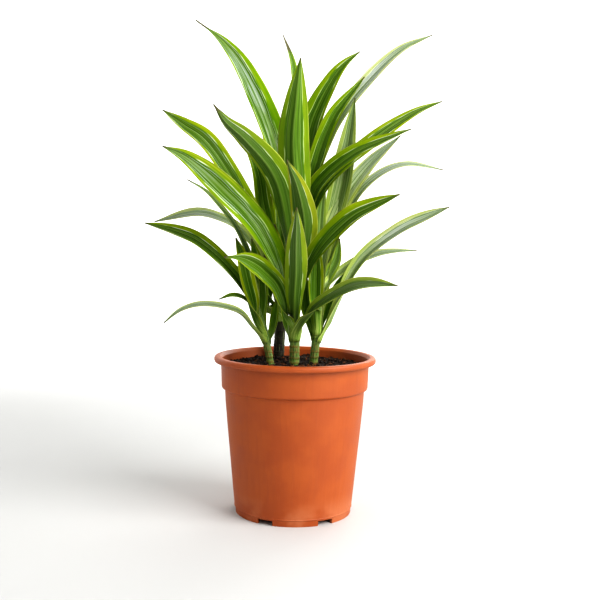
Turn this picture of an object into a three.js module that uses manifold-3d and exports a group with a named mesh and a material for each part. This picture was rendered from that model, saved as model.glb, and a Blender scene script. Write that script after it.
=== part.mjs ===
// Potted dracaena: four leafy canes in a round plastic pot filled with potting soil.
// Units are millimetres. +Z is up, the pot stands on z = 0 and its axis is the Z axis.
// The front of the plant looks along -Y. All sizes below are real sizes.

import * as THREE from 'three';
import { mergeVertices } from 'three/addons/utils/BufferGeometryUtils.js';
import Module from 'manifold-3d';

const wasm = await Module();
wasm.setup();

// ---------------------------------------------------------------- driving dimensions

const FIT_GAP = 0.3; // clearance between pieces that touch on the real plant
const WELD = 0.01; // corners closer than this become one

const POT = {
  height: 136,
  rimRadius: 70, // outside of the rolled rim
  rimDepth: 5, // how far the rim's skirt hangs down
  rimThickness: 1.9,
  rimInnerRadius: 64.4,
  rimTopThickness: 2.8, // from the top down to where the collar meets the rim
  skirtRound: 0.7, // rounded corners: the skirt's lower edge,
  crownRound: 1.6, // the rim's outer top edge
  lipRound: 0.9, // and its inner one
  lipDepth: 2.4, // how far the lip slopes down to the inside of the collar
  collarTopRadius: 64.3,
  collarBottomRadius: 63.4,
  collarBottomZ: 109.6,
  shoulderRadius: 60.5, // body just below the collar
  shoulderZ: 107.4,
  wallBend: [60.0, 97.6], // [radius, z] of the body's slight bend
  wallMiddle: [55.0, 44.6],
  footLineRadius: 51.3,
  footLineZ: 5.5,
  footOuterRadius: 50.4,
  footInnerRadius: 47.4,
  footDraft: 0.8, // taper inside the foot ring
  footGroove: 0.3, // step of the line above the foot
  wall: 1.6,
  floorUnderside: 5,
  floorThickness: 1.8,
  segments: 48,
};

// Gaps in the foot ring, with an angle in degrees from +X, and holes in the floor beside them.
const NOTCH = { count: 6, width: 14, height: 4.6, depth: 16, below: 0.4, firstAngle: -117 };
const DRAIN = { radius: 4.5, fromAxis: 39.5, depth: 8, sides: 12 };

const SOIL = {
  edgeZ: 127,
  middleZ: 129.6,
  roughness: 1,
  segments: 30,
  holeFloorZ: 88, // the canes' holes: their floor, where their mouth flares, and a height above them
  holeFlareZ: 131,
  aboveZ: 137,
};

// A stem's axis is foot + lean * h + bow * h^2, with h the height above the soil line.
const SOIL_LINE = 128;
const CANE_BOTTOM = 89;
const STEM_SIDES = 10;
const SCAR = { height: 0.6, bulge: 0.35 };
// How far the leaf sheaths stand out from the cane: at their lower end, at their swell, and where
// the cane ends inside them. Above that the shoot narrows to tipRadius.
const SHEATH = {
  foot: 1.1,
  swell: 1.5,
  swellAbove: 8,
  overCane: 1,
  closesAbove: 3,
  middleShare: 0.75,
  tipRadius: 2,
};
const STEMS = {
  centre: {
    foot: [-0.5, -8], lean: [0, 0.01], bow: [-0.0001, 0],
    caneRadius: 4.3, caneTop: 159, sheathBottom: 147, shootTop: 238, scars: [131, 135.5, 140.5, 145],
  },
  right: {
    foot: [15.8, -6], lean: [0.085, 0.03], bow: [0.0002, 0],
    caneRadius: 3.7, caneTop: 158, sheathBottom: 147, shootTop: 196, scars: [131, 136, 141],
  },
  left: {
    foot: [-20.6, -8], lean: [-0.2, -0.02], bow: [-0.0005, 0],
    caneRadius: 3.2, caneTop: 156, sheathBottom: 145, shootTop: 190, scars: [131.5, 136, 140.5],
  },
  back: {
    foot: [-15.5, 48], lean: [0.04, -0.01], bow: [0, 0],
    caneRadius: 5, caneTop: 178, sheathBottom: 160, shootTop: 224, scars: [133, 139, 146, 153],
  },
};

// Each leaf: root = height on its shoot, width = widest part of the blade, via = points that the
// midrib passes, the last one being the tip, face = where the upper side looks. A leaf may have its
// own broadAt, tailStart and baseShare in place of BLADE's.
const LEAVES = {
  centre: [
    // rising to the back
    { root: 222, width: 22.8, tailStart: 0.94, face: [0.3, -1, 0.4],
      via: [[-4, 2, 240], [-19.8, 24, 321], [-48.5, 48, 386.8], [-69.5, 60, 415.5], [-97, 72, 437.5]] },
    { root: 230, width: 11, face: [0.6, -0.8, 0.4],
      via: [[0, 2, 250], [0, 14, 300], [-1, 35, 351], [-6.3, 55, 397], [-16, 70, 425]] },
    { root: 227, width: 16, face: [-0.3, -1, 0.6],
      via: [[1, 3, 250], [3, 22, 300], [10, 43, 345], [20, 60, 372]] },
    { root: 214, width: 16, face: [0.3, -1, 0.6],
      via: [[-5, 3, 247], [-14, 22, 285], [-28, 42, 312], [-44, 60, 326]] },
    // tall middle leaf, leaning a little forward
    { root: 212, width: 28.5, face: [0, 1, 0.3],
      via: [[0, -13, 245], [-1, -20, 278], [-4, -30, 318], [-2, -38, 350], [1, -45, 382]] },
    // rising to the right
    { root: 226, width: 21, face: [-0.4, -1, 0.3],
      via: [[3, 3, 262], [6, 9, 309], [11.4, 14, 341], [29.5, 22, 378.7], [40, 25, 392],
        [53, 28, 402.3]] },
    { root: 218, width: 14, broadAt: 0.7, face: [-0.5, -1, 0.5],
      via: [[8, 5, 262], [19, 14, 307], [33.6, 25, 342], [60, 40, 379], [91, 52, 409.7],
        [120.5, 60, 424.5]] },
    { root: 216, width: 15.5, broadAt: 0.6, face: [-0.3, -1, 0.3],
      via: [[4, -8, 245], [9.5, -8, 279], [21.7, -3, 324.2], [31.8, 1, 346.1], [56, 8, 377]] },
    { root: 208, width: 16, face: [-0.4, -1, 0.5],
      via: [[8, -2, 250], [23, 0, 285.5], [63, 10, 322.6], [101.5, 18, 349.3], [125, 20, 359]] },
    { root: 203, width: 17.5, face: [-0.5, -1, 0.6],
      via: [[5, -12, 250], [15, -18, 281], [44, -27, 308.2], [79, -30, 323.8], [92.5, -30, 328.7]] },
    { root: 172, width: 18.5, broadAt: 0.68, face: [-0.3, -1, 0.6],
      via: [[7, -38, 209], [17, -53, 229.5], [42.4, -66, 256.4], [57.5, -69, 264.5],
        [80, -72, 273.4]] },
    { root: 151, width: 13, broadAt: 0.68, baseShare: 0.85, face: [0, -1, 0.7],
      via: [[5.5, -20, 168], [16, -36, 182], [43, -62, 200.5], [59, -73, 204], [78.5, -85, 202.8]] },
    // coming forward
    { root: 172, width: 23, face: [0, 1, 0.6],
      via: [[3, -24, 211], [6, -42, 236], [6, -56, 254], [0, -76, 279], [-8, -92, 297]] },
    { root: 163, width: 19, baseShare: 0.6, face: [0, 1, 0.8],
      via: [[-1, -40, 191], [0, -62, 213], [0, -80, 233], [0, -103, 261]] },
    { root: 154, width: 15, broadAt: 0.72, baseShare: 0.5, face: [0.2, -1, 0.05],
      via: [[-14, -36, 197], [-23, -50, 209], [-32, -60, 217], [-43, -68, 222], [-56, -75, 222.5]] },
    // rising to the left
    { root: 198, width: 24.5, broadAt: 0.58, face: [0.3, 0.8, 0.4],
      via: [[-6, -25, 241], [-18, -50, 289], [-42, -68, 316], [-55.4, -72, 327], [-65.5, -75, 340]] },
    { root: 172, width: 25, broadAt: 0.62, face: [0.3, -1, 0.5],
      via: [[-8, -16, 198], [-29, -35, 244], [-59, -48, 276.5], [-89, -52, 301.2],
        [-108.5, -50, 309.8]] },
    { root: 184, width: 18, broadAt: 0.76, face: [0.3, -1, 0.5],
      via: [[-23, -14, 231], [-50, -18, 280.5], [-77.7, -14, 319.4], [-96.8, -10, 332.5],
        [-115.5, -5, 344.5]] },
    // narrow, low and behind
    { root: 150, width: 6, face: [0.3, -1, 0.2], via: [[-8, 4, 160], [-10, 12, 174], [-13, 22, 196]] },
  ],
  left: [
    { root: 168, width: 11, face: [0.6, -0.4, 0.8],
      via: [[-33, -10, 198], [-49, -18, 242.5], [-62, -22, 261], [-76, -24, 275.8],
        [-91.5, -25, 285.3]] },
    { root: 152, width: 13, broadAt: 0.7, face: [0.3, -1, 0.6],
      via: [[-40, -15, 187], [-51.5, -17, 207], [-82.5, -15, 235], [-105, -12, 243.7],
        [-129.5, -10, 248.8]] },
    { root: 156, width: 12.6, broadAt: 0.62, face: [0.3, -1, 0.3],
      via: [[-34, -16, 178], [-39.5, -22, 198], [-44.5, -26, 220], [-50.6, -28, 237.5]] },
    { root: 160, width: 11, face: [0, -1, 0.2], via: [[-29, -6, 186], [-32, -4, 210], [-39, 0, 237]] },
    { root: 174, width: 6, face: [0.2, -0.6, 1],
      via: [[-45, -17, 187.5], [-54, -19, 189.4], [-65, -20, 185.5]] },
    { root: 148, width: 8, face: [0.2, -0.6, 1],
      via: [[-44.5, -20, 173.8], [-62, -26, 180.4], [-80, -29, 181.8], [-96, -30, 176.8],
        [-110, -30, 165.7]] },
    // behind
    { root: 156, width: 12, face: [0.5, -0.5, 0.8],
      via: [[-34, 0, 182], [-42, 14, 196], [-50, 28, 208], [-58, 40, 214]] },
    { root: 152, width: 11, face: [0, -0.8, 1], via: [[-31, 4, 176], [-35, 16, 192], [-41, 28, 200]] },
    { root: 147, width: 7, face: [0, -1, 0.3],
      via: [[-20.5, 2, 157], [-18.5, 9, 171], [-17.5, 13, 184]] },
  ],
  right: [
    { root: 176, width: 21, broadAt: 0.58, face: [-0.2, -1, 0.3],
      via: [[19, 2, 206], [30, 9, 250], [37.5, 12, 285], [42, 15, 315], [48.6, 17, 360.5]] },
    { root: 170, width: 18, face: [-0.4, -1, 0.4],
      via: [[21, -1, 217], [36.5, 10, 265.5], [61, 20, 302], [90, 25, 329.5]] },
    { root: 166, width: 13, broadAt: 0.7, face: [-0.3, -0.6, 1],
      via: [[28, 12, 222], [51.5, 20, 276.5], [77, 27, 298.8], [97, 29, 305], [129, 30, 300.5]] },
    { root: 149, width: 15, broadAt: 0.8, face: [-0.4, -0.8, 0.8],
      via: [[35.4, -4, 184], [56, 4, 221], [89.5, 9, 247.8], [111, 10, 258.2], [132, 10, 266.8]] },
    { root: 155, width: 10, broadAt: 0.5, baseShare: 0.6, face: [-0.3, -0.8, 0.8],
      via: [[22, -1, 192], [48, 12, 216], [69, 18, 225], [87, 21, 228], [106.5, 22, 228.4]] },
    { root: 168, width: 11, face: [-0.2, -1, 0.3],
      via: [[25, 4, 200], [34.3, 8, 219], [37.3, 10, 238]] },
    { root: 160, width: 13, face: [-0.1, -1, 0.2],
      via: [[17, -11, 198], [17, -15, 220], [17, -20, 236]] },
    // behind
    { root: 172, width: 15, face: [-0.4, -0.8, 0.8],
      via: [[20, 10, 232], [32, 34, 266], [48, 56, 290], [66, 72, 305]] },
    { root: 158, width: 10, face: [-0.4, -0.5, 1],
      via: [[27.5, 4, 175], [37, 11, 198], [47, 18, 212]] },
    { root: 160, width: 14, face: [0, -0.6, 1],
      via: [[19, 10, 193], [23, 30, 223], [29, 50, 240], [34, 66, 246]] },
    { root: 150, width: 10, face: [-0.3, -1, 0.2], via: [[12, 2, 163], [8.5, 6, 183], [7, 12, 210]] },
    { root: 172, width: 10, face: [-0.1, -1, 0.3],
      via: [[19, 3, 210], [20.5, 3.5, 260], [23.5, 4, 289]] },
  ],
  back: [
    { root: 172, width: 10.5, broadAt: 0.72, face: [0.3, -0.8, 0.8],
      via: [[-24, 38, 204], [-50, 19, 245], [-67, 12, 255], [-87, 5, 259], [-122, -5, 250]] },
    { root: 190, width: 15, face: [0.3, -1, 0.3],
      via: [[-22, 40, 231], [-30, 32, 267], [-35.5, 24, 297], [-49, 15, 324]] },
    { root: 210, width: 18, face: [0, -1, 0.4], via: [[-15, 54, 240], [-14, 60, 290], [-9, 68, 350]] },
    { root: 204, width: 19, face: [0.4, -1, 0.6],
      via: [[-16, 62, 262], [-26, 80, 330], [-43, 95, 383]] },
    { root: 198, width: 18, face: [-0.3, -0.8, 0.8],
      via: [[-3, 62, 250], [8, 82, 290], [26, 99, 322]] },
    { root: 184, width: 17, face: [0, -0.6, 1], via: [[-14, 70, 225], [-12, 90, 254], [-8, 104, 270]] },
    { root: 176, width: 16, face: [0.4, -0.5, 1],
      via: [[-21, 64, 212], [-31, 84, 231], [-42, 98, 236]] },
    { root: 172, width: 16, face: [-0.4, -0.5, 1], via: [[-4, 66, 209], [8, 86, 226], [22, 100, 230]] },
    { root: 180, width: 18, face: [0.5, -0.8, 0.8],
      via: [[-29, 53, 225], [-53, 59, 262], [-80, 62, 291]] },
    { root: 178, width: 16, face: [-0.5, -0.7, 0.8],
      via: [[0, 57, 220], [20, 73, 249], [44, 88, 262]] },
    // low, in front of the others
    { root: 180, width: 12, face: [0.2, -1, 0.4],
      via: [[-13, 38, 204], [-17, 29, 228], [-20, 24, 250]] },
    { root: 171, width: 14, face: [0.4, -1, 0.5],
      via: [[-22.5, 42, 181], [-26, 38, 200], [-29, 32, 222]] },
    { root: 169, width: 15, broadAt: 0.5, face: [0.3, -1, 0.2],
      via: [[-24, 42, 172], [-28, 40, 187], [-30.5, 38, 204], [-31, 37, 220]] },
    { root: 163, width: 16, broadAt: 0.5, face: [0.2, -1, 0.2],
      via: [[-24, 43, 169.5], [-31, 43, 173.5], [-42, 45, 183]] },
  ],
};

const BLADE = {
  flatBelow: 12.5, // narrower blades than this are flat, wider ones are folded along the midrib
  ribThickness: 1.2,
  edgeThickness: 0.8,
  baseShare: 0.32, // width of the clasping base as a share of the widest part
  broadAt: 0.57, // the share of the length where the blade is widest
  tailStart: 0.98, // where the blade ends and the dry tip begins
  tailWidth: 1.7,
  tipWidth: 1,
  rootWidth: 4.4,
  rootBelow: 3, // the midrib starts this far below the leaf's root, on the stem's axis,
  collarAbove: 7, // then passes this far above it
  collarOut: 3.2, // and this far from the axis
  facesOutBy: 0.35, // share of the length in which the clasping base turns into the open blade
  waist: 0.5, // the tail is measured from here on
  foldAtBase: 40, // degrees that each half is raised beside the midrib
  foldAtMiddle: 13,
  stations: [0, 0.09, 0.22, 0.36, 0.5, 0.64, 0.78, 0.91, 1],
  shortStations: [0, 0.15, 0.38, 0.64, 0.86, 1],
  shortLength: 75,
};

const MATERIALS = {
  pot: { color: 0xb85a2e, roughness: 0.42, metalness: 0 },
  soil: { color: 0x1d1410, roughness: 0.97, metalness: 0 },
  cane: { color: 0x7c8c4a, roughness: 0.6, metalness: 0 },
  backCane: { color: 0x3a3a22, roughness: 0.7, metalness: 0 },
  leaf: { color: 0x4f7f16, roughness: 0.4, metalness: 0 },
};

// ---------------------------------------------------------------- solids and meshes

const radians = THREE.MathUtils.degToRad;

function toSolid(geometry) {
  const bare = geometry.clone();
  bare.deleteAttribute('normal');
  bare.deleteAttribute('uv');
  const merged = mergeVertices(bare, 1e-4);
  const positions = merged.attributes.position;
  const corner = (i) => new THREE.Vector3().fromBufferAttribute(positions, i);
  const triangles = [];
  let volume = 0;
  for (let i = 0; i < merged.index.count; i += 3) {
    const [a, b, c] = [0, 1, 2].map((k) => merged.index.getX(i + k));
    if (a === b || b === c || c === a) continue;
    triangles.push(a, b, c);
    volume += corner(a).dot(corner(b).cross(corner(c)));
  }
  if (volume < 0) triangles.reverse();
  return new wasm.Manifold(new wasm.Mesh({
    numProp: 3,
    vertProperties: new Float32Array(positions.array),
    triVerts: new Uint32Array(triangles),
  }));
}

function toMesh(name, solid, look) {
  const { vertProperties, triVerts, numProp } = solid.getMesh();
  const geometry = new THREE.BufferGeometry();
  const points = new Float32Array((vertProperties.length / numProp) * 3);
  for (let i = 0; i < points.length / 3; i += 1) {
    for (let k = 0; k < 3; k += 1) points[3 * i + k] = vertProperties[numProp * i + k];
  }
  geometry.setAttribute('position', new THREE.BufferAttribute(points, 3));
  geometry.setIndex(new THREE.BufferAttribute(new Uint32Array(triVerts), 1));
  geometry.computeVertexNormals();
  const mesh = new THREE.Mesh(geometry, new THREE.MeshStandardMaterial(look));
  mesh.name = name;
  return mesh;
}

// Turns a profile of [radius, z] points about the Z axis.
function turned(profile, segments) {
  const geometry = new THREE.LatheGeometry(profile.map(([r, z]) => new THREE.Vector2(r, z)), segments);
  return geometry.rotateX(Math.PI / 2);
}

// ---------------------------------------------------------------- pot

function potProfile() {
  const p = POT;
  const top = p.height;
  const skirtBottom = top - p.rimDepth;
  const undercut = top - p.rimTopThickness;
  const [bendRadius, bendZ] = p.wallBend;
  const [middleRadius, middleZ] = p.wallMiddle;
  return [
    [0, p.floorUnderside],
    [p.footInnerRadius, p.floorUnderside],
    [p.footInnerRadius + p.footDraft, 0],
    [p.footOuterRadius, 0],
    [p.footOuterRadius + p.footGroove, p.footLineZ - p.footGroove],
    [p.footLineRadius + p.footGroove, p.footLineZ],
    [p.footLineRadius, p.footLineZ + 1],
    [middleRadius, middleZ],
    [bendRadius, bendZ],
    [p.shoulderRadius, p.shoulderZ],
    [p.collarBottomRadius - 0.5, p.collarBottomZ - 1],
    [p.collarBottomRadius, p.collarBottomZ],
    [p.collarTopRadius, undercut],
    [p.rimRadius - p.rimThickness, undercut],
    [p.rimRadius - p.rimThickness, skirtBottom],
    [p.rimRadius - p.skirtRound, skirtBottom],
    [p.rimRadius, skirtBottom + 2 * p.skirtRound],
    [p.rimRadius, top - p.crownRound],
    [p.rimRadius - 0.45 * p.crownRound, top - 0.3 * p.crownRound],
    [p.rimRadius - 1.2 * p.crownRound, top],
    [p.rimInnerRadius + p.lipRound, top],
    [p.rimInnerRadius, top - 0.7 * p.lipRound],
    [p.collarTopRadius - p.wall, top - p.lipDepth],
    [p.collarBottomRadius - p.wall, p.collarBottomZ],
    [p.shoulderRadius - p.wall, p.shoulderZ - 1],
    [bendRadius - p.wall, bendZ],
    [middleRadius - p.wall, middleZ],
    [p.footLineRadius - p.wall, p.floorUnderside + p.floorThickness],
    [0, p.floorUnderside + p.floorThickness],
  ];
}

function makePot() {
  let pot = toSolid(turned(potProfile(), POT.segments));
  for (let i = 0; i < NOTCH.count; i += 1) {
    const angle = radians(NOTCH.firstAngle + (i * 360) / NOTCH.count);
    const notch = new THREE.BoxGeometry(NOTCH.depth, NOTCH.width, NOTCH.height);
    notch.translate(POT.footOuterRadius, 0, NOTCH.height / 2 - NOTCH.below);
    notch.rotateZ(angle);
    pot = pot.subtract(toSolid(notch));
    const drain = new THREE.CylinderGeometry(DRAIN.radius, DRAIN.radius, DRAIN.depth, DRAIN.sides);
    drain.rotateX(Math.PI / 2);
    drain.translate(DRAIN.fromAxis, 0, POT.floorUnderside + POT.floorThickness / 2);
    drain.rotateZ(angle);
    pot = pot.subtract(toSolid(drain));
  }
  return pot;
}

// ---------------------------------------------------------------- stems

function axisAt(stem, z) {
  const h = z - SOIL_LINE;
  return new THREE.Vector3(
    stem.foot[0] + stem.lean[0] * h + stem.bow[0] * h * h,
    stem.foot[1] + stem.lean[1] * h + stem.bow[1] * h * h,
    z,
  );
}

// A round solid that follows a stem's axis; profile is [radius, z] from the bottom to the top.
function alongStem(stem, profile, sides) {
  const geometry = turned(profile, sides);
  const positions = geometry.attributes.position;
  for (let i = 0; i < positions.count; i += 1) {
    const centre = axisAt(stem, positions.getZ(i));
    positions.setX(i, positions.getX(i) + centre.x);
    positions.setY(i, positions.getY(i) + centre.y);
  }
  return geometry;
}

function makeCane(stem) {
  const r = stem.caneRadius;
  const profile = [[0, CANE_BOTTOM], [r, CANE_BOTTOM]];
  stem.scars.forEach((z) => {
    profile.push([r, z - SCAR.height], [r + SCAR.bulge, z], [r, z + SCAR.height]);
  });
  profile.push([r, stem.caneTop], [0, stem.caneTop]);
  return toSolid(alongStem(stem, profile, STEM_SIDES));
}

// The shoot: leaf sheaths wrapped around the top of the cane, narrowing upward.
function makeShoot(stem) {
  const r = stem.caneRadius;
  const top = stem.shootTop;
  const profile = [
    [0, stem.sheathBottom],
    [r + SHEATH.foot, stem.sheathBottom],
    [r + SHEATH.swell, stem.sheathBottom + SHEATH.swellAbove],
    [r + SHEATH.overCane, stem.caneTop + SHEATH.closesAbove],
    [r * SHEATH.middleShare, (stem.caneTop + top) / 2],
    [SHEATH.tipRadius, top],
    [0, top],
  ];
  return toSolid(alongStem(stem, profile, STEM_SIDES));
}

// The room that the cane takes inside the sheaths.
function makeSocket(stem) {
  const inside = stem.caneRadius + FIT_GAP;
  const socketTop = stem.caneTop + FIT_GAP;
  const mouth = stem.sheathBottom - 1;
  const profile = [[0, mouth], [inside, mouth], [inside, socketTop], [0, socketTop]];
  return toSolid(alongStem(stem, profile, STEM_SIDES));
}

// ---------------------------------------------------------------- leaves

// Width of the blade as a share of its widest part, at a share s of its length.
function bladeShare(leaf, s) {
  const { broadAt, tailStart, baseShare } = { ...BLADE, ...leaf };
  if (s < broadAt) return THREE.MathUtils.lerp(baseShare, 1, Math.sin((Math.PI / 2) * (s / broadAt)));
  const u = (s - broadAt) / (tailStart - broadAt);
  return u >= 1 ? 0 : (1 - u ** 2) ** 0.9;
}

function halfWidth(leaf, s) {
  if (s === 0) return BLADE.rootWidth / 2;
  const { waist, tailWidth, tipWidth } = BLADE;
  const tail = THREE.MathUtils.mapLinear(Math.max(s, waist), waist, 1, tailWidth, tipWidth);
  return Math.max(leaf.width * bladeShare(leaf, s), tail) / 2;
}

function midrib(leaf, stem) {
  const via = leaf.via.map((point) => new THREE.Vector3(...point));
  const root = axisAt(stem, leaf.root - BLADE.rootBelow);
  const away = via[0].clone().sub(root).setZ(0).normalize();
  const collar = axisAt(stem, leaf.root + BLADE.collarAbove).addScaledVector(away, BLADE.collarOut);
  return { curve: new THREE.CatmullRomCurve3([root, collar, ...via], false, 'centripetal'), away };
}

function leafGeometry(leaf, stem) {
  const { curve, away } = midrib(leaf, stem);
  const face = new THREE.Vector3(...leaf.face).normalize();
  const clasp = away.clone().negate();
  const stations = curve.getLength() < BLADE.shortLength ? BLADE.shortStations : BLADE.stations;
  const points = [];
  stations.forEach((s) => {
    const centre = curve.getPointAt(s);
    const along = curve.getTangentAt(s);
    const turn = THREE.MathUtils.smoothstep(s, 0, BLADE.facesOutBy);
    const up = clasp.clone().lerp(face, turn);
    up.addScaledVector(along, -up.dot(along)).normalize();
    const across = new THREE.Vector3().crossVectors(along, up);
    const fold = radians(BLADE.foldAtMiddle + (BLADE.foldAtBase - BLADE.foldAtMiddle) * (1 - s) ** 3);
    const half = halfWidth(leaf, s);
    const side = half * Math.cos(fold);
    const lift = half * Math.sin(fold);
    const edge = BLADE.edgeThickness / 2;
    const rib = BLADE.ribThickness / 2;
    const flat = [[-side, -edge], [side, -edge], [side, edge], [-side, edge]];
    const below = [[-side, lift - edge], [0, -rib], [side, lift - edge]];
    const above = [[side, lift + edge], [0, rib], [-side, lift + edge]];
    const section = leaf.width < BLADE.flatBelow ? flat : [...below, ...above];
    section.forEach(([a, u]) => {
      points.push(centre.clone().addScaledVector(across, a).addScaledVector(up, u));
    });
  });
  const sides = points.length / stations.length;
  const last = (stations.length - 1) * sides;
  const index = [];
  for (let ring = 0; ring < stations.length - 1; ring += 1) {
    for (let k = 0; k < sides; k += 1) {
      const a = ring * sides + k;
      const b = ring * sides + ((k + 1) % sides);
      // the upper faces are split along the same diagonals as the lower ones
      if (k < sides / 2) index.push(a, b, b + sides, a, b + sides, a + sides);
      else index.push(a, b, a + sides, b, b + sides, a + sides);
    }
  }
  const caps = sides === 4 ? [[0, 1, 2], [0, 2, 3]] : [[0, 1, 4], [0, 4, 5], [1, 2, 3], [1, 3, 4]];
  caps.forEach(([a, b, c]) => {
    index.push(a, c, b, last + a, last + b, last + c);
  });
  const geometry = new THREE.BufferGeometry().setFromPoints(points);
  geometry.setIndex(index);
  return geometry;
}

// The shoot with its leaves fused on. Any hollow sealed between the leaf bases is filled: only the
// outer skin is kept.
function makeCrown(stem, leaves) {
  const blades = leaves.map((leaf) => toSolid(leafGeometry(leaf, stem)));
  const fused = wasm.Manifold.union([makeShoot(stem), ...blades]).subtract(makeSocket(stem));
  const [outer] = fused.decompose().sort((a, b) => b.volume() - a.volume());
  return outer;
}

// ---------------------------------------------------------------- soil

function soilBump(x, y) {
  const broad = Math.sin(0.13 * x + 0.6) * Math.cos(0.11 * y + 0.3);
  const fine = Math.sin(0.37 * x - 0.29 * y + 1.7) + 0.7 * Math.sin(0.61 * y + 0.23 * x + 0.4);
  return SOIL.roughness * (0.9 * broad + 0.5 * fine);
}

function makeSoil() {
  const p = POT;
  const inset = p.wall + FIT_GAP;
  const [bendRadius, bendZ] = p.wallBend;
  const [middleRadius, middleZ] = p.wallMiddle;
  const floor = p.floorUnderside + p.floorThickness + FIT_GAP;
  const rimShare = (SOIL.edgeZ - p.collarBottomZ) / (p.height - p.collarBottomZ);
  const edgeRadius = THREE.MathUtils.lerp(p.collarBottomRadius, p.collarTopRadius, rimShare) - inset;
  const profile = [
    [0, floor],
    [p.footLineRadius - inset, floor],
    [middleRadius - inset, middleZ],
    [bendRadius - inset, bendZ],
    [p.shoulderRadius - inset, p.shoulderZ - 1],
    [p.collarBottomRadius - inset, p.collarBottomZ + 0.4],
    [edgeRadius, SOIL.edgeZ],
  ];
  const topRings = 5;
  for (let i = 1; i <= topRings; i += 1) {
    const share = i / topRings;
    const z = THREE.MathUtils.lerp(SOIL.edgeZ, SOIL.middleZ, Math.sin((share * Math.PI) / 2));
    profile.push([edgeRadius * (1 - share), z]);
  }
  const geometry = turned(profile, SOIL.segments);
  const positions = geometry.attributes.position;
  for (let i = 0; i < positions.count; i += 1) {
    const [x, y, z] = [positions.getX(i), positions.getY(i), positions.getZ(i)];
    if (z > SOIL.edgeZ + 0.01) positions.setZ(i, z + soilBump(x, y));
  }
  let soil = toSolid(geometry);
  Object.values(STEMS).forEach((stem) => {
    const r = stem.caneRadius + FIT_GAP;
    const { holeFloorZ: floorZ, holeFlareZ: flareZ, aboveZ } = SOIL;
    const mouth = [[r, flareZ], [r + 1, flareZ + 2], [r + 1, aboveZ]];
    const hole = [[0, floorZ], [r, floorZ], ...mouth, [0, aboveZ]];
    soil = soil.subtract(toSolid(alongStem(stem, hole, STEM_SIDES)));
  });
  return soil.simplify(WELD);
}

// ---------------------------------------------------------------- plant

const plant = new THREE.Group();
plant.name = 'potted_dracaena';
plant.add(toMesh('pot', makePot(), MATERIALS.pot));
plant.add(toMesh('potting_soil', makeSoil(), MATERIALS.soil));
Object.entries(STEMS).forEach(([name, stem]) => {
  const caneLook = name === 'back' ? MATERIALS.backCane : MATERIALS.cane;
  plant.add(toMesh(`${name}_cane`, makeCane(stem), caneLook));
  plant.add(toMesh(`${name}_crown`, makeCrown(stem, LEAVES[name]), MATERIALS.leaf));
});

export default plant;
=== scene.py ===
"""Looks of the potted dracaena: leaves, canes, soil and pot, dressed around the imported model.

Sizes are in millimetres and +Z is up, as on the real plant. MM turns them into the frame's metres.
The front of the plant looks along -Y.
"""

import math
from types import SimpleNamespace as Sizes

import bpy
import numpy as np
from mathutils import Matrix, Vector, noise


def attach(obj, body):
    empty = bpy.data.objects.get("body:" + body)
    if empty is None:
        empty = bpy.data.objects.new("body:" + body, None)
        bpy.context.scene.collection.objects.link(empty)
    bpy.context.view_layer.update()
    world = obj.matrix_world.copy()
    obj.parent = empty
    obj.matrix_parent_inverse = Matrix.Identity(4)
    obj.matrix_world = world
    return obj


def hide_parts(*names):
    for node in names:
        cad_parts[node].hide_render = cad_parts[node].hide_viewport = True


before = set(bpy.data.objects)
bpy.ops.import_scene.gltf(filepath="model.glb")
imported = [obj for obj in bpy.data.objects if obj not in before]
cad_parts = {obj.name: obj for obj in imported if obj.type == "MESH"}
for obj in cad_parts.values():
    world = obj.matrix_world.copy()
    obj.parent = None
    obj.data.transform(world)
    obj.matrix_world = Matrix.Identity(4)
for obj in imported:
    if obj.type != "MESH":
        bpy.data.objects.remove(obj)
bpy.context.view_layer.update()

MM = 0.001

# ---------------------------------------------------------------- sizes

POT = Sizes(
    height=136,
    rim_radius=70,
    rim_depth=5,
    rim_thickness=1.9,
    rim_inner_radius=64.4,
    collar_top_radius=64.3,
    collar_bottom_radius=63.4,
    collar_bottom_z=109.6,
    shoulder_radius=60.5,
    shoulder_z=107.4,
    bend=(60.0, 97.6),  # this and the next two are places (radius, z) on the outer skin
    middle=(55.0, 44.6),
    foot_line=(51.3, 5.5),
    foot_outer_radius=50.4,
    foot_inner_radius=47.4,
    wall=1.6,
    floor_underside=5,
    floor_thickness=1.8,
    segments=180,
    sharp_angle=38,
)
NOTCH = Sizes(count=6, width=14, first_angle=-117, depth=16, roof=1.3)  # roof is what is left above
DRAIN = Sizes(radius=4.5, from_axis=39.5, sides=36, clear=3)  # its cutter ends this clear of the floor
SOIL = Sizes(edge_z=127, middle_z=129.6, gap=0.3, rings=88, segments=220)
RELIEF = ((1.3, 0.11, 4), (0.9, 0.33, 9), (0.45, 1.1, 2))  # height, fineness and seed of each noise
CRUMBS = Sizes(count=1500, smallest=0.45, size_range=1.3, from_edge=1.5, brown_share=0.13, sharp_angle=40)
FIBRES = Sizes(count=46, length=(4, 10), radius=(0.18, 0.5), from_edge=8, rings=6, sides=4)

# A stem's axis is foot + lean * h + bow * h^2, with h the height above the soil line. Its heights are
# the cane's top, the lowest sheath, the top of the leafy shoot and the cane's leaf scars.
SOIL_LINE = 128
CANE_BOTTOM = 122
STALK = Sizes(sides=40, step=0.4, slant=0.5)  # slant is how far its marks wander up and down

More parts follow.
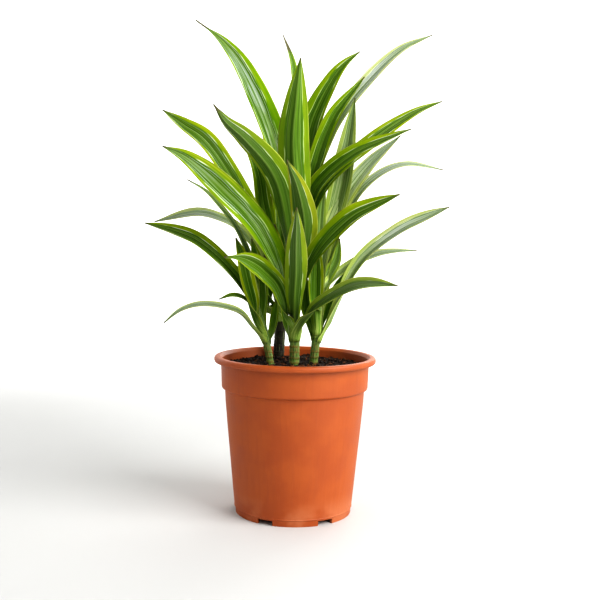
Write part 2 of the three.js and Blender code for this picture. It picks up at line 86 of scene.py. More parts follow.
# A leaf scar swells the cane and pinches it just below; marked is how far its colour spreads. An old
# sheath ends in a slanted lip at each seam, given by its height above the lowest sheath.
SCAR = Sizes(swell=0.32, swell_height=0.55, pinch=0.16, pinch_height=0.5, pinch_below=1.1, marked=1.5)
SHEATH = Sizes(seams=(0.3, 4.5, 8.5, 12.5), slant=2.6, lip=0.3, above_lip=2.5, below_lip=0.8)
STEMS = {
    "centre": Sizes(
        foot=(-0.5, -8), lean=(0, 0.01), bow=(-0.0001, 0), cane_radius=4.3,
        cane_top=159, sheath_bottom=147, shoot_top=238, scars=(131, 135.5, 140.5, 145),
    ),
    "right": Sizes(
        foot=(15.8, -6), lean=(0.085, 0.03), bow=(0.0002, 0), cane_radius=3.7,
        cane_top=158, sheath_bottom=147, shoot_top=196, scars=(131, 136, 141),
    ),
    "left": Sizes(
        foot=(-20.6, -8), lean=(-0.2, -0.02), bow=(-0.0005, 0), cane_radius=3.2,
        cane_top=156, sheath_bottom=145, shoot_top=190, scars=(131.5, 136, 140.5),
    ),
    "back": Sizes(
        foot=(-15.5, 48), lean=(0.04, -0.01), bow=(0, 0), cane_radius=5,
        cane_top=178, sheath_bottom=160, shoot_top=224, scars=(133, 139, 146, 153),
    ),
}


def leaf(root, width, face, via, **own):
    """A leaf that grows from the height root on its shoot. width is that of the widest part of its
    blade, face is where its upper side looks, and via lists points that its midrib passes, the last
    one being the tip. own holds what differs from a usual leaf."""
    usual = {
        "broad_at": 0.57,  # where the blade is widest, as a share of its length
        "base_share": 0.32,  # width above the clasping base as a share of the widest part
        "tail_start": 0.995,  # where the blade ends and only the dry tail goes on
        "tail_width": 2.6,
        "fold": 1,  # how far the halves are raised, compared with a usual leaf
        "margin": 0.62,  # where the lime margin begins: 0 at the midrib, 1 at the edge
        "shift": None,  # how much further out it begins on one side; None leaves it to chance
        "brown": 2.5,  # length of the dry brown tip
        "silver": 0.25,  # how grey the streaks of its centre are: partly the leaf's own grey-green streaks, partly a painted sheen
        "deep": 0,  # how dark its centre is
        "pale": 0,  # how pale and bluish the whole leaf is
        "yellow": 0.2,  # how yellow its margins are
    }
    return Sizes(root=root, width=width, face=face, via=via, **{**usual, **own})


LEAVES = {
    "centre": [
        # rising to the back
        leaf(222, 22.8, (0.3, -1, 0.4),
             [(-4, 2, 240), (-19.8, 24, 321), (-48.5, 48, 386.8), (-69.5, 60, 415.5), (-97, 72, 437.5)],
             tail_start=0.94, tail_width=3.4, margin=0.66, shift=-0.19, brown=15, silver=0.85, yellow=0),
        leaf(230, 11, (0.6, -0.8, 0.4),
             [(0, 2, 250), (0, 14, 300), (-1, 35, 351), (-6.3, 55, 397), (-16, 70, 425)],
             brown=20, silver=0.7),
        leaf(227, 16, (-0.3, -1, 0.6), [(1, 3, 250), (3, 22, 300), (10, 43, 345), (20, 60, 372)]),
        leaf(214, 16, (0.3, -1, 0.6), [(-5, 3, 247), (-14, 22, 285), (-28, 42, 312), (-44, 60, 326)]),
        # tall middle leaf, leaning a little forward
        leaf(212, 28.5, (0, 1, 0.3),
             [(0, -13, 245), (-1, -20, 278), (-4, -30, 318), (-2, -38, 350), (1, -45, 382)],
             fold=1.5, margin=0.54, shift=0, silver=0.3),
        # rising to the right
        leaf(226, 21, (-0.4, -1, 0.3),
             [(3, 3, 262), (6, 9, 309), (11.4, 14, 341), (29.5, 22, 378.7), (40, 25, 392), (53, 28, 402.3)],
             shift=0.16, deep=0.4),
        leaf(218, 14, (-0.5, -1, 0.5),
             [(8, 5, 262), (19, 14, 307), (33.6, 25, 342), (60, 40, 379), (91, 52, 409.7),
              (120.5, 60, 424.5)],
             broad_at=0.7, shift=0.1, silver=0.6, pale=0.6),
        leaf(216, 15.5, (-0.3, -1, 0.3),
             [(4, -8, 245), (9.5, -8, 279), (21.7, -3, 324.2), (31.8, 1, 346.1), (56, 8, 377)],
             broad_at=0.6, fold=1.4, shift=0.12, silver=0.3, deep=0.3),
        leaf(208, 16, (-0.4, -1, 0.5),
             [(8, -2, 250), (23, 0, 285.5), (63, 10, 322.6), (101.5, 18, 349.3), (125, 20, 359)],
             shift=0.1, silver=0.2, deep=0.4),
        leaf(203, 17.5, (-0.5, -1, 0.6),
             [(5, -12, 250), (15, -18, 281), (44, -27, 308.2), (79, -30, 323.8), (92.5, -30, 328.7)],
             fold=1.3, shift=0.14, silver=0.1, deep=0.6),
        leaf(172, 18.5, (-0.3, -1, 0.6),
             [(7, -38, 209), (17, -53, 229.5), (42.4, -66, 256.4), (57.5, -69, 264.5), (80, -72, 273.4)],
             broad_at=0.68, fold=1.3, shift=0.13, silver=0.15, deep=0.4),
        leaf(151, 13, (0, -1, 0.7),
             [(5.5, -20, 168), (16, -36, 182), (43, -62, 200.5), (59, -73, 204), (78.5, -85, 202.8)],
             broad_at=0.68, base_share=0.85, fold=1.4, shift=0.12, silver=0.2, deep=0.6, pale=0.2),
        # coming forward
        leaf(172, 23, (0, 1, 0.6),
             [(3, -24, 211), (6, -42, 236), (6, -56, 254), (0, -76, 279), (-8, -92, 297)],
             fold=1.4, margin=0.64, shift=0.13, silver=0.1, deep=0.9, yellow=0.6),
        leaf(163, 19, (0, 1, 0.8), [(-1, -40, 191), (0, -62, 213), (0, -80, 233), (0, -103, 261)],
             base_share=0.6, fold=1.3, margin=0.58, shift=0, silver=0.2, deep=1, yellow=0.25),
        leaf(154, 15, (0.2, -1, 0.05),
             [(-14, -36, 197), (-23, -50, 209), (-32, -60, 217), (-43, -68, 222), (-56, -75, 222.5)],
             broad_at=0.72, base_share=0.5, tail_start=0.93, tail_width=5, fold=1.5, margin=0.72,
             shift=-0.08, silver=0.5, deep=0.3),
        # rising to the left
        leaf(198, 24.5, (0.3, 0.8, 0.4),
             [(-6, -25, 241), (-18, -50, 289), (-42, -68, 316), (-55.4, -72, 327), (-65.5, -75, 340)],
             broad_at=0.58, tail_start=0.99, tail_width=3, fold=1.5, shift=0.12, brown=7, silver=0.1,
             deep=0.8),
        leaf(172, 25, (0.3, -1, 0.5),
             [(-8, -16, 198), (-29, -35, 244), (-59, -48, 276.5), (-89, -52, 301.2), (-108.5, -50, 309.8)],
             broad_at=0.62, fold=1.2, shift=-0.13, silver=0.8, yellow=0.1),
        leaf(184, 18, (0.3, -1, 0.5),
             [(-23, -14, 231), (-50, -18, 280.5), (-77.7, -14, 319.4), (-96.8, -10, 332.5),
              (-115.5, -5, 344.5)],
             broad_at=0.76, fold=1.3, shift=-0.12, silver=0.45, deep=0.5),
        # narrow, low and behind
        leaf(150, 6, (0.3, -1, 0.2), [(-8, 4, 160), (-10, 12, 174), (-13, 22, 196)]),
    ],
    "left": [
        leaf(168, 11, (0.6, -0.4, 0.8),
             [(-33, -10, 198), (-49, -18, 242.5), (-62, -22, 261), (-76, -24, 275.8), (-91.5, -25, 285.3)],
             silver=0.3, pale=0.2),
        leaf(152, 13, (0.3, -1, 0.6),
             [(-40, -15, 187), (-51.5, -17, 207), (-82.5, -15, 235), (-105, -12, 243.7),
              (-129.5, -10, 248.8)],
             broad_at=0.7, fold=1.3, shift=-0.13, silver=0.2, deep=0.4),
        leaf(156, 12.6, (0.3, -1, 0.3),
             [(-34, -16, 178), (-39.5, -22, 198), (-44.5, -26, 220), (-50.6, -28, 237.5)],
             broad_at=0.62, silver=0.2, deep=0.6, yellow=0.5),
        leaf(160, 11, (0, -1, 0.2), [(-29, -6, 186), (-32, -4, 210), (-39, 0, 237)]),
        leaf(174, 6, (0.2, -0.6, 1), [(-45, -17, 187.5), (-54, -19, 189.4), (-65, -20, 185.5)]),
        leaf(148, 8, (0.2, -0.6, 1),
             [(-44.5, -20, 173.8), (-62, -26, 180.4), (-80, -29, 181.8), (-96, -30, 176.8),
              (-110, -30, 165.7)],
             fold=1.4, silver=0.45, pale=0.7),
        # behind
        leaf(156, 12, (0.5, -0.5, 0.8), [(-34, 0, 182), (-42, 14, 196), (-50, 28, 208), (-58, 40, 214)]),
        leaf(152, 11, (0, -0.8, 1), [(-31, 4, 176), (-35, 16, 192), (-41, 28, 200)]),
        leaf(147, 7, (0, -1, 0.3), [(-20.5, 2, 157), (-18.5, 9, 171), (-17.5, 13, 184)]),
    ],
    "right": [
        leaf(176, 21, (-0.2, -1, 0.3),
             [(19, 2, 206), (30, 9, 250), (37.5, 12, 285), (42, 15, 315), (48.6, 17, 360.5)],
             broad_at=0.58, fold=1.3, margin=0.6, silver=0.7, pale=0.7),
        leaf(170, 18, (-0.4, -1, 0.4), [(21, -1, 217), (36.5, 10, 265.5), (61, 20, 302), (90, 25, 329.5)],
             silver=0.8, pale=0.95, yellow=0.5),
        leaf(166, 13, (-0.3, -0.6, 1),
             [(28, 12, 222), (51.5, 20, 276.5), (77, 27, 298.8), (97, 29, 305), (129, 30, 300.5)],
             broad_at=0.7, silver=0.7, pale=0.65),
        leaf(149, 15, (-0.4, -0.8, 0.8),
             [(35.4, -4, 184), (56, 4, 221), (89.5, 9, 247.8), (111, 10, 258.2), (132, 10, 266.8)],
             broad_at=0.8, fold=1.3, shift=0.14, silver=0.5, pale=0.65),
        leaf(155, 10, (-0.3, -0.8, 0.8),
             [(22, -1, 192), (48, 12, 216), (69, 18, 225), (87, 21, 228), (106.5, 22, 228.4)],
             broad_at=0.5, base_share=0.6, shift=0.1, silver=0.5, pale=0.85),
        leaf(168, 11, (-0.2, -1, 0.3), [(25, 4, 200), (34.3, 8, 219), (37.3, 10, 238)],
             silver=0.9, pale=0.3),
        leaf(160, 13, (-0.1, -1, 0.2), [(17, -11, 198), (17, -15, 220), (17, -20, 236)],
             silver=0.35, deep=0.5, yellow=0.4),
        # behind
        leaf(172, 15, (-0.4, -0.8, 0.8), [(20, 10, 232), (32, 34, 266), (48, 56, 290), (66, 72, 305)]),
        leaf(158, 10, (-0.4, -0.5, 1), [(27.5, 4, 175), (37, 11, 198), (47, 18, 212)]),
        leaf(160, 14, (0, -0.6, 1), [(19, 10, 193), (23, 30, 223), (29, 50, 240), (34, 66, 246)]),
        leaf(150, 10, (-0.3, -1, 0.2), [(12, 2, 163), (8.5, 6, 183), (7, 12, 210)]),
        leaf(172, 10, (-0.1, -1, 0.3), [(19, 3, 210), (20.5, 3.5, 260), (23.5, 4, 289)],
             silver=0.6, pale=0.5),
    ],
    "back": [
        leaf(172, 10.5, (0.3, -0.8, 0.8),
             [(-24, 38, 204), (-50, 19, 245), (-67, 12, 255), (-87, 5, 259), (-122, -5, 250)],
             broad_at=0.72, shift=-0.15, silver=0.7, pale=0.75),
        leaf(190, 15, (0.3, -1, 0.3), [(-22, 40, 231), (-30, 32, 267), (-35.5, 24, 297), (-49, 15, 324)]),
        leaf(210, 18, (0, -1, 0.4), [(-15, 54, 240), (-14, 60, 290), (-9, 68, 350)]),
        leaf(204, 19, (0.4, -1, 0.6), [(-16, 62, 262), (-26, 80, 330), (-43, 95, 383)]),
        leaf(198, 18, (-0.3, -0.8, 0.8), [(-3, 62, 250), (8, 82, 290), (26, 99, 322)]),
        leaf(184, 17, (0, -0.6, 1), [(-14, 70, 225), (-12, 90, 254), (-8, 104, 270)]),
        leaf(176, 16, (0.4, -0.5, 1), [(-21, 64, 212), (-31, 84, 231), (-42, 98, 236)]),
        leaf(172, 16, (-0.4, -0.5, 1), [(-4, 66, 209), (8, 86, 226), (22, 100, 230)]),
        leaf(180, 18, (0.5, -0.8, 0.8), [(-29, 53, 225), (-53, 59, 262), (-80, 62, 291)]),
        leaf(178, 16, (-0.5, -0.7, 0.8), [(0, 57, 220), (20, 73, 249), (44, 88, 262)]),
        # low, in front of the others
        leaf(180, 12, (0.2, -1, 0.4), [(-13, 38, 204), (-17, 29, 228), (-20, 24, 250)]),
        leaf(171, 14, (0.4, -1, 0.5), [(-22.5, 42, 181), (-26, 38, 200), (-29, 32, 222)],
             yellow=0.1),
        leaf(169, 15, (0.3, -1, 0.2), [(-24, 42, 172), (-28, 40, 187), (-30.5, 38, 204), (-31, 37, 220)],
             broad_at=0.5, yellow=0.1),
        leaf(163, 16, (0.2, -1, 0.2), [(-24, 43, 169.5), (-31, 43, 173.5), (-42, 45, 183)],
             broad_at=0.5, yellow=0.1),
    ],
}

BLADE = Sizes(
    stations_apart=3.4,
    fewest_stations=24,
    across=(0, 0.04, 0.15, 0.3, 0.45, 0.58, 0.7, 0.81, 0.9, 0.97, 1),  # from midrib to margin
    tip_share=0.4,  # width of the tip as a share of the tail's
    rib_thickness=0.9,
    edge_thickness=0.28,
    keel=0.35,  # how far the midrib stands out below the blade
    keel_width=0.07,  # as a share of the half blade
    base_step=1.7,  # least height from the end of one clasping base to the next
    layer=0.18,  # how much further out each lower base lies, for the lowest three
    sheath=12,  # how far the clasping base reaches down the shoot below the leaf's root
    wrap_angle=1.5,  # radians that the base reaches round the shoot on each side
    narrows=(1, 15),  # distances from the base between which the clasp narrows to the blade
    opens=(7, 20),  # and between which it lets go of the shoot
    fold_at_base=44,  # degrees that each half is raised beside the midrib
    fold_at_middle=20,
    twist=7,  # most degrees that a blade twists
    wave=0.03,  # height of the margin's waves as a share of the width
)

# Lanes of the blade from its midrib to one margin, and from margin to margin.
SHARES = np.array(BLADE.across)
LANES = np.concatenate([-SHARES[:0:-1], SHARES])

# The shaded heart of the crown. Inside it the leaves keep a deeper green; outside it they are painted
# lighter, which is painted light.
CORE = Sizes(middle=(0, 0, 235), size=(90, 100, 330))

# ---------------------------------------------------------------- small helpers


def lerp(a, b, t):
    return a + (b - a) * t


def smoothstep(t, low=0.0, high=1.0):
    t = np.clip((t - low) / (high - low), 0, 1)
    return t * t * (3 - 2 * t)


def unit(v):
    return v / np.maximum(np.linalg.norm(v, axis=-1, keepdims=True), 1e-9)


def bell(x, width):
    """1 at 0, falling smoothly towards nothing about two widths away."""
    return np.exp(-((x / width) ** 2))


def wander(x, seed):
    """A smooth value between about -1 and 1 that changes with x, different for each seed."""
    return noise.noise(Vector((x, 17.3 * seed + 0.5, 3.1 * seed)))


def add_object(name, data):
    thing = bpy.data.objects.new(name, data)
    bpy.context.scene.collection.objects.link(thing)
    return thing


def add_mesh(name, points, faces):
    """A smooth-shaded mesh object. points are in millimetres."""
    mesh = bpy.data.meshes.new(name)
    mesh.from_pydata((np.asarray(points) * MM).tolist(), [], faces)
    mesh.polygons.foreach_set("use_smooth", [True] * len(mesh.polygons))
    mesh.update()
    return add_object(name, mesh)


def add_attribute(mesh, name, vectors):
    layer = mesh.attributes.new(name, "FLOAT_VECTOR", "POINT")
    layer.data.foreach_set("vector", np.asarray(vectors, np.float32).ravel())


def make_piece(name, points, faces, material, slot, **attributes):
    """A mesh piece that rides with the plant, with its material's attributes of each point."""
    piece = add_mesh(name, points, faces)
    for key, vectors in attributes.items():
        add_attribute(piece.data, key, vectors)
    piece.data.materials.append(material)
    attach(piece, "root")
    return piece


def circle(radius, sides, z=0.0):
    """Points round the Z axis."""
    angles = np.arange(sides) * 2 * math.pi / sides
    return [(radius * math.cos(a), radius * math.sin(a), z) for a in angles]


def tube_faces(rings, sides):
    """Quads between rings of points, each ring closed on itself."""
    faces = []
    for ring in range(rings - 1):
        for k in range(sides):
            a = ring * sides + k
            b = ring * sides + (k + 1) % sides
            faces.append((a, b, b + sides, a + sides))
    return faces


def axis_at(stem, z):
    h = np.asarray(z, float) - SOIL_LINE
    x = stem.foot[0] + stem.lean[0] * h + stem.bow[0] * h * h
    y = stem.foot[1] + stem.lean[1] * h + stem.bow[1] * h * h
    return np.stack([x, y, np.asarray(z, float)], axis=-1)


def shoot_radius(stem, z):
    """Radius of the sheaths wound round a stem at height z."""
    r = stem.cane_radius
    heights = [
        stem.sheath_bottom,
        stem.sheath_bottom + 8,
        stem.cane_top + 3,
        (stem.cane_top + stem.shoot_top) / 2,
        stem.shoot_top,
    ]
    return np.interp(z, heights, [r + 0.1, r + 0.3, r + 0.25, r * 0.62, 1.4])


# ---------------------------------------------------------------- materials


def srgb(code):
    """A linear colour from a hexadecimal sRGB code such as "b85a2e"."""
    parts = [int(code[i : i + 2], 16) / 255 for i in (0, 2, 4)]
    return [c / 12.92 if c <= 0.04045 else ((c + 0.055) / 1.055) ** 2.4 for c in parts] + [1.0]


class Value:
    """What a node puts out. The signs + - * add math nodes."""

    def __init__(self, look, socket):
        self.look = look
        self.socket = socket

    def __add__(self, other):
        return self.look.math("ADD", self, other)

    def __sub__(self, other):
        return self.look.math("SUBTRACT", self, other)

    def __mul__(self, other):
        return self.look.math("MULTIPLY", self, other)

    def __abs__(self):
        return self.look.math("ABSOLUTE", self)

    def fit(self, low, high, new_low=0.0, new_high=1.0):
        """Maps low..high to new_low..new_high with soft ends, and clamps."""
        inputs = dict(enumerate((self, low, high, new_low, new_high)))
        return self.look.node("MapRange", inputs, interpolation_type="SMOOTHSTEP")

    def split(self):
        """The three numbers of a vector."""
        node = self.look.node("SeparateXYZ", {0: self}).socket.node
        return [Value(self.look, socket) for socket in node.outputs]


class Look:
    """A node material. Most methods add one node and return what it puts out."""

    def __init__(self, name):
        self.material = bpy.data.materials.new(name)
        self.material.use_nodes = True
        self.tree = self.material.node_tree

    def feed(self, socket, value):
        """Gives a socket a value, a number, a colour or the hexadecimal code of a colour."""
        if isinstance(value, Value):
            self.tree.links.new(value.socket, socket)
        else:
            socket.default_value = srgb(value) if isinstance(value, str) else value

    def node(self, kind, inputs, out=0, **settings):
        """Adds a node with these inputs, by number or name, and returns one of its outputs."""
        node = self.tree.nodes.new("ShaderNode" + kind)
        for key, value in settings.items():
            setattr(node, key, value)
        for key, value in inputs.items():
            self.feed(node.inputs[key], value)
        return Value(self, node.outputs[out])

    def shade(self, **inputs):
        """Sets inputs of the shader, with _ for a space in their names, and returns the material."""
        shader = self.tree.nodes["Principled BSDF"]
        for key, value in inputs.items():
            self.feed(shader.inputs[key.replace("_", " ")], value)
        return self.material

    def attribute(self, name):
        return self.node("Attribute", {}, "Vector", attribute_name=name)

    def join(self, x, y, z):
        return self.node("CombineXYZ", {0: x, 1: y, 2: z})

    def math(self, operation, a, b=0.0):
        return self.node("Math", {0: a, 1: b}, operation=operation)

    def mix(self, share, a, b, blend="MIX"):
        return self.node("Mix", {0: share, 6: a, 7: b}, 2, data_type="RGBA", blend_type=blend)

    def layers(self, colour, *paints):
        """The colour with each (share, paint) laid over it in turn."""
        for share, paint in paints:
            colour = self.mix(share, colour, paint)
        return colour

    def noise(self, vector, scale=1.0, detail=2.0, roughness=0.5):
        inputs = {"Vector": vector, "Scale": scale, "Detail": detail, "Roughness": roughness}
        return self.node("TexNoise", inputs, "Fac")

    def bump(self, height, depth, **under):
        """A bump of depth metres for a height of 0..1; Normal is another bump under it."""
        return self.node("Bump", {"Distance": depth, "Height": height, **under})


# How much lighter than painted a blade is in the shade of the crown and out in the open; the extra
# lightness out in the open is painted light.
SHADE_GAIN = (1.6, 1.44, 1.3, 1)
OPEN_GAIN = (2.22, 1.72, 3.3, 1)


def leaf_look():
    """Dark green centre with grey-green streaks and painted sheen, lime margins, pale border lines, brown
    tip.

    Of its attributes, blade holds (-1..1 across, millimetres to the tip, millimetres from the base),
    tone (0 above or 1 below, a number for each leaf, how silvery its centre is, partly grey-green
    streaks and partly a painted sheen), habit (where the margin begins, length of the brown tip, how
    yellow the margins are) and wear (how pale and bluish the leaf is, 1 where it is far out of the
    crown and painted lighter as painted light, how deep the green of its centre is)."""
    look = Look("leaf_tissue")
    across, left, reach = look.attribute("blade").split()
    below, seed, silver = look.attribute("tone").split()
    margin, brown, yellow = look.attribute("habit").split()
    pale, painted_open_light, deep = look.attribute("wear").split()
    half = abs(across)

    def drawn_out(fineness, along, offset=1, detail=2, roughness=0.5):
        """Noise in streaks along the leaf, different from leaf to leaf."""
        return look.noise(look.join(across * fineness, reach * along, seed * offset), 1, detail, roughness)

    wide = drawn_out(8, 0.01, 31)
    lined = drawn_out(15, 0.012, 23)
    streaks = drawn_out(24, 0.014, 17, 3, 0.65)
    veins = drawn_out(34, 0.008)
    clouds = drawn_out(0.8, 0.03)

    # the border between centre and margin wanders along the leaf; band is 0 there
    drift = drawn_out(1.2, 0.022, 40).fit(0.3, 0.7, -0.09, 0.09)
    band = half + drift - margin

    # silver: grey streaks of the centre, partly the leaf's own grey-green and partly a painted sheen of
    # reflected light
    silver = silver * clouds.fit(0.34, 0.54, 0.5, 1) * left.fit(15, 130, 0.45, 1)
    grey = look.mix(silver, "5c7a46", "8a9a8a")
    grey_share = wide.fit(0.4, 0.6) * silver.fit(0, 1, 0.02, 1)
    grey_share *= (streaks + clouds).fit(0.8, 1.1, 0.5, 1)
    grey_share *= lined.fit(0.43, 0.55, 0.15, 1)
    centre = look.layers(
        "2e4e06",
        (wide.fit(0.35, 0.65), "46680f"),
        (lined.fit(0.48, 0.6) * 0.6, "58782c"),
        (grey_share, grey),
        (band.fit(-0.14, -0.02, 0, 0.5), "446e0a"),
        (deep * 0.6, "203c04"),
    )
    lime = look.layers(
        "4a7003",
        (clouds.fit(0.35, 0.65), "5c7e03"),
        (lined.fit(0.46, 0.6) * 0.6, "446c04"),
        (wide.fit(0.52, 0.7) * 0.5, "788a1c"),
        (yellow * 0.7, "84820c"),
    )

    # thin pale lines on the border and inside it, the outermost edge, and a bleached film
    patchy = look.noise(look.join(seed, reach * 0.05, across), 1, 1).fit(0.42, 0.58)
    border_line = abs(band - 0.01).fit(0.01, 0.045, 0.75, 0) * patchy
    inner_line = abs(band + 0.16).fit(0.004, 0.02, 0.8, 0) * silver.fit(0, 0.7, 0.1, 1)
    edge = look.mix(clouds.fit(0.42, 0.58), "54501c", "8b9a44")
    edge = look.mix(reach.fit(10, 70, 0.8, 0), edge, "b4c48a")
    bleached = pale * left.fit(5, 70, 0.55, 1) * lined.fit(0.42, 0.56, 0.35, 1)
    film = look.mix(band.fit(-0.05, 0.1), "8a9c76", "a4b676")

    # the midrib, the lower side, which is a little paler and bluer, and the pale clasping base
    rib = half.fit(0.015, 0.05, 1, 0) * below.fit(0, 1, 0.35, 0.3)
    base = look.mix(streaks.fit(0.42, 0.58), "4c7420", "93a962")
    colour = look.layers(
        centre,
        (band.fit(-0.02, 0.03), lime),
        (border_line, "a6bc86"),
        (inner_line, "93a888"),
        (half.fit(0.93, 0.98) * 0.75, edge),
        (bleached, film),
        (rib, "7c9c4c"),
        (below * 0.08, "728c58"),
        (reach.fit(4, 24, 0.7, 0), base),
    )

    # a blade is painted lighter where it leaves the shade of the crown, which is painted light; its tip is
    # olive, then brown
    lit = look.mix(1, colour, look.mix(painted_open_light, SHADE_GAIN, OPEN_GAIN), "MULTIPLY")
    ragged = left + streaks.fit(0.3, 0.7, -2, 2) - brown
    olive_tip = (ragged.fit(0, 7, 0.6, 0), "5b6a22")
    brown_tip = (ragged.fit(-1.5, 1.5, 0.9, 0), "625c42")
    return look.shade(
        Base_Color=look.layers(lit, olive_tip, brown_tip),
        Roughness=streaks.fit(0.3, 0.7, 0.42, 0.58),
        Specular_IOR_Level=0.12,
        Specular_Tint=(0.85, 1, 0.6, 1),
        Normal=look.bump(veins, 0.0002),
    )


def stalk_look(name, young, old, scar, dark_share):
    """Bark of a stem. The attribute stalk holds (turns round the stem, height, 1 at a leaf scar)."""
    look = Look(name)
    turn, height, scarred = look.attribute("stalk").split()
    round_x = look.math("COSINE", turn * (2 * math.pi))
    round_y = look.math("SINE", turn * (2 * math.pi))

    def round_stem(fineness, along, scale=1, detail=2, roughness=0.5):
        """Noise that closes on itself round the stem."""
        place = look.join(round_x * fineness, round_y * fineness, height * along)
        return look.noise(place, scale, detail, roughness)

    mottle = round_stem(1, 0.16, 1.5, 4, 0.62)
    fibres = round_stem(4, 0.045, 1, 3, 0.6)
    specks = round_stem(5, 0.9)
    worn = round_stem(1.6, 0.24)
    colour = look.layers(
        young,
        (mottle.fit(0.38, 0.62), old),
        (fibres.fit(0.52, 0.66) * dark_share, "1d2a0e"),
        # pale streaks along the fibres, partly the bark's own streaks and partly a painted highlight
        (fibres.fit(0.46, 0.34, 0, 0.45), "aebd84"),
        (specks.fit(0.6, 0.7, 0, 0.6), scar),
        (worn.fit(0.54, 0.68, 0, 0.8), scar),
        (worn.fit(0.42, 0.3, 0, 0.5), old),
        (scarred.fit(0, 0.8) * specks.fit(0.36, 0.6, 0.1, 0.7), scar),
    )
    return look.shade(
        Base_Color=colour,
        Roughness=mottle.fit(0.3, 0.7, 0.42, 0.65),
        Specular_IOR_Level=0.3,
        Normal=look.bump(fibres + specks, 0.0004),
    )


def pot_look():
    """Moulded terracotta-coloured plastic: satin, faintly mottled, with dull scuffs and a dusty foot."""
    look = Look("moulded_plastic")
    place = look.attribute("place")
    x, y, z = place.split()
    cloud = look.noise(place, 0.035, 3, 0.55)
    grain = look.noise(place, 2.2, 3, 0.6)
    streak = look.noise(look.join(x * 0.35, y * 0.35, z * 0.012), 1, 3)
    colour = look.layers(
        "a24c12",
        (cloud.fit(0.35, 0.65), "aa5418"),
        (streak.fit(0.52, 0.75, 0, 0.22), "954518"),
        (grain.fit(0.6, 0.75, 0, 0.16), "b4653a"),
        (z.fit(5, 26, 0.3, 0) * cloud.fit(0.4, 0.65), "c98a66"),
    )
    return look.shade(
        Base_Color=colour,
        Roughness=cloud.fit(0.3, 0.7, 0.46, 0.56) + grain.fit(0.4, 0.7, 0, 0.06),
        Specular_IOR_Level=0.6,
        Normal=look.bump(grain, 0.00006, Normal=look.bump(streak, 0.0001)),
    )


def soil_look():
    """Damp dark peat with browner dry crumbs. tone is a number for each crumb."""
    look = Look("damp_peat")
    place = look.attribute("place")
    crumb = look.attribute("tone").split()[0]
    grain = look.noise(place, 1.3, 5, 0.7)
    colour = look.layers(
        "120b08",
        (grain.fit(0.35, 0.7), "37251b"),
        (look.noise(place, 0.09, 3).fit(0.45, 0.7, 0, 0.45), "3c2a1e"),
        (crumb.fit(0.35, 1), "7a4c2e"),
    )
    return look.shade(
        Base_Color=colour,
        Roughness=grain.fit(0.3, 0.7, 0.75, 1),
        Specular_IOR_Level=0.3,
        Normal=look.bump(grain, 0.0007),
    )


# ---------------------------------------------------------------- pot


def filleted(corners, arc_steps=4):
    """The outline through corners of (radius, z, rounding), each corner rounded by its rounding."""
    points = [Vector(corner[:2]) for corner in corners]
    outline = []
    for i, corner in enumerate(points):
        rounding = corners[i][2]
        if not rounding:
            outline.append(tuple(corner))
            continue
        back, ahead = points[i - 1] - corner, points[i + 1] - corner
        longest = 0.45 * min(back.length, ahead.length)
        reach = min(rounding / math.tan(back.angle(ahead) / 2), longest)
        start, end = corner + back.normalized() * reach, corner + ahead.normalized() * reach
        for k in range(arc_steps + 1):
            t = k / arc_steps
            outline.append(tuple(start * (1 - t) ** 2 + corner * 2 * t * (1 - t) + end * t * t))
    return outline


def revolve(outline, segments):
    """Points and faces of an outline of (radius, z) turned about Z; its ends lie on the axis."""
    inner = outline[1:-1]
    points = [(0, 0, outline[0][1])]
    for radius, z in inner:
        points += circle(radius, segments, z)
    points.append((0, 0, outline[-1][1]))
    last = 1 + (len(inner) - 1) * segments
    faces = []
    for k in range(segments):
        n = (k + 1) % segments
        faces += [(0, 1 + n, 1 + k), (len(points) - 1, last + k, last + n)]
    faces += [tuple(1 + i for i in quad) for quad in tube_faces(len(inner), segments)]
    return np.array(points), faces


